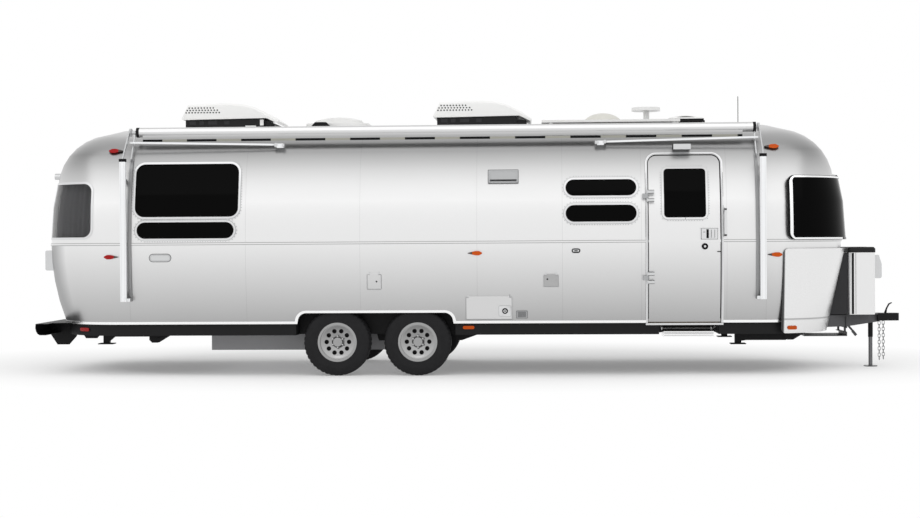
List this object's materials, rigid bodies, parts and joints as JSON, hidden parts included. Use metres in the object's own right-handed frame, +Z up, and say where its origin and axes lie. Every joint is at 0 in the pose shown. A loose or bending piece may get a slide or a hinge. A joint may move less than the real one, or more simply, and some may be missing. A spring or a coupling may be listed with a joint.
{
  "type": "travel caravan",
  "caption": "Long travel caravan with a rounded, riveted aluminium body, tandem wheels, side door with step, rolled awning, roof coolers and a hitch frame with jack.",
  "frame": {"origin": "on the ground, half way between the rear bumper and the coupler's nose, on the body's centre plane", "axes": "+X forward to the hitch, +Y to the road (left) side, +Z up"},
  "size_m": [9.469, 2.6356, 3.049],
  "materials": {
    "skin": "brushed",
    "trim": "polished",
    "glass": "smooth",
    "dark_guard": "smooth",
    "floor": "plain",
    "chassis": "satin",
    "frame_grey": "satin",
    "bright_steel": "zinc plated",
    "head_grey": "satin",
    "black_plastic": "matte",
    "awning_cloth": "woven",
    "arm_white": "satin",
    "white_plastic": "matte",
    "panel": "smooth",
    "red_lens": "clear",
    "amber_lens": "clear",
    "tyre": "matte",
    "rim": "polished"
  },
  "bodies": {
    "trailer": {"ac_bases": "chassis", "ac_front": "white_plastic", "ac_rear": "white_plastic", "antennas": "white_plastic", "awning_arms": "arm_white", "awning_roller": "awning_cloth", "axles": "chassis", "chassis_tray": "chassis", "coupler": "chassis", "floor_deck": "floor", "front_cap_lower": "skin", "front_cap_upper": "skin", "gas_bottle_cover": "trim", "gas_cover_lid": "black_plastic", "guard_wings": "dark_guard", "hitch_frame": "frame_grey", "jack_post": "frame_grey", "lamps_amber": "amber_lens", "lamps_red": "red_lens", "mouldings": "trim", "opening_frames": "trim", "rear_bumper": "chassis", "rear_cap_lower": "skin", "rear_cap_upper": "skin", "roof_domes": "white_plastic", "roof_panel": "skin", "safety_chains": "bright_steel", "side_walls_lower": "skin", "side_walls_upper": "skin", "solar_panel": "panel", "stone_guards": "trim", "tank_pan": "frame_grey", "underbody_brackets": "chassis", "vent_base": "white_plastic", "wall_fittings": "head_grey", "wheel_wells": "chassis", "window_glass": "glass"},
    "wheel_rear_left": {"rim_rear_left": "rim", "tyre_rear_left": "tyre"},
    "wheel_rear_right": {"rim_rear_right": "rim", "tyre_rear_right": "tyre"},
    "wheel_front_left": {"rim_front_left": "rim", "tyre_front_left": "tyre"},
    "wheel_front_right": {"rim_front_right": "rim", "tyre_front_right": "tyre"},
    "door": {"door_panel": "skin", "door_glass": "glass", "door_hardware": "head_grey"},
    "hatch_rear": {"hatch_rear": "skin"},
    "hatch_front": {"hatch_front": "skin"},
    "heater_door": {"heater_door": "skin"},
    "step_swing": {"step_arms": "chassis"},
    "step_tread": {"step_tread": "chassis"},
    "jack_ram": {"jack_leg": "bright_steel"},
    "stabilizer_rear_left": {"stabilizer_rear_left": "frame_grey"},
    "stabilizer_rear_right": {"stabilizer_rear_right": "frame_grey"},
    "stabilizer_front_left": {"stabilizer_front_left": "frame_grey"},
    "stabilizer_front_right": {"stabilizer_front_right": "frame_grey"},
    "window_guard": {"window_guard": "dark_guard"},
    "vent_lid": {"vent_lid": "white_plastic"}
  },
  "joints": [
    {"name": "wheel_rear_left_spin", "type": "hinge", "parent": "trailer", "child": "wheel_rear_left", "pos_m": [-1.44, 1.058, 0.358], "axis": [0, 1, 0], "continuous": true},
    {"name": "wheel_rear_right_spin", "type": "hinge", "parent": "trailer", "child": "wheel_rear_right", "pos_m": [-1.44, -1.058, 0.358], "axis": [0, 1, 0], "continuous": true},
    {"name": "wheel_front_left_spin", "type": "hinge", "parent": "trailer", "child": "wheel_front_left", "pos_m": [-0.58, 1.058, 0.358], "axis": [0, 1, 0], "continuous": true},
    {"name": "wheel_front_right_spin", "type": "hinge", "parent": "trailer", "child": "wheel_front_right", "pos_m": [-0.58, -1.058, 0.358], "axis": [0, 1, 0], "continuous": true},
    {"name": "door_swing", "type": "hinge", "parent": "trailer", "child": "door", "pos_m": [1.852, -1.262, 1.4], "axis": [0, 0, -1], "range_deg": [0, 160]},
    {"name": "step_fold", "type": "hinge", "parent": "trailer", "child": "step_swing", "pos_m": [2.288, -1, 0.508], "axis": [-1, 0, 0], "range_deg": [0, 130]},
    {"name": "step_tread_level", "type": "hinge", "parent": "step_swing", "child": "step_tread", "pos_m": [2.288, -0.80195, 0.48017], "axis": [-1, 0, 0], "range_deg": [-130, 0]},
    {"name": "jack_extend", "type": "slide", "parent": "trailer", "child": "jack_ram", "axis": [0, 0, 1], "range_m": [0, 0.3]},
    {"name": "stabilizer_rear_left_drop", "type": "hinge", "parent": "trailer", "child": "stabilizer_rear_left", "pos_m": [-3.455, 0.84, 0.392], "axis": [0, -1, 0], "range_deg": [0, 22]},
    {"name": "stabilizer_rear_right_drop", "type": "hinge", "parent": "trailer", "child": "stabilizer_rear_right", "pos_m": [-3.455, -0.84, 0.392], "axis": [0, -1, 0], "range_deg": [0, 22]},
    {"name": "stabilizer_front_left_drop", "type": "hinge", "parent": "trailer", "child": "stabilizer_front_left", "pos_m": [3.43, 0.64, 0.392], "axis": [0, -1, 0], "range_deg": [0, 22]},
    {"name": "stabilizer_front_right_drop", "type": "hinge", "parent": "trailer", "child": "stabilizer_front_right", "pos_m": [3.43, -0.64, 0.392], "axis": [0, -1, 0], "range_deg": [0, 22]},
    {"name": "window_guard_lift", "type": "hinge", "parent": "trailer", "child": "window_guard", "pos_m": [3.975, 0, 2.118], "axis": [0, -1, 0], "range_deg": [0, 60]},
    {"name": "vent_lid_lift", "type": "hinge", "parent": "trailer", "child": "vent_lid", "pos_m": [2.573, 0.13, 2.76], "axis": [0, 1, 0], "range_deg": [0, 70]},
    {"name": "hatch_rear_lift", "type": "hinge", "parent": "trailer", "child": "hatch_rear", "pos_m": [-1.03, -1.24195, 1.087], "axis": [-1, 0, 0], "range_deg": [0, 110]},
    {"name": "hatch_front_lift", "type": "hinge", "parent": "trailer", "child": "hatch_front", "pos_m": [0.839, -1.24086, 1.071], "axis": [-1, 0, 0], "range_deg": [0, 110]},
    {"name": "heater_door_lift", "type": "hinge", "parent": "trailer", "child": "heater_door", "pos_m": [0.183, -1.21903, 0.839], "axis": [-1, 0, 0], "range_deg": [0, 110]}
  ],
  "couplings": [
    {"joint": "step_tread_level", "follows": "step_fold", "ratio": -1}
  ]
}
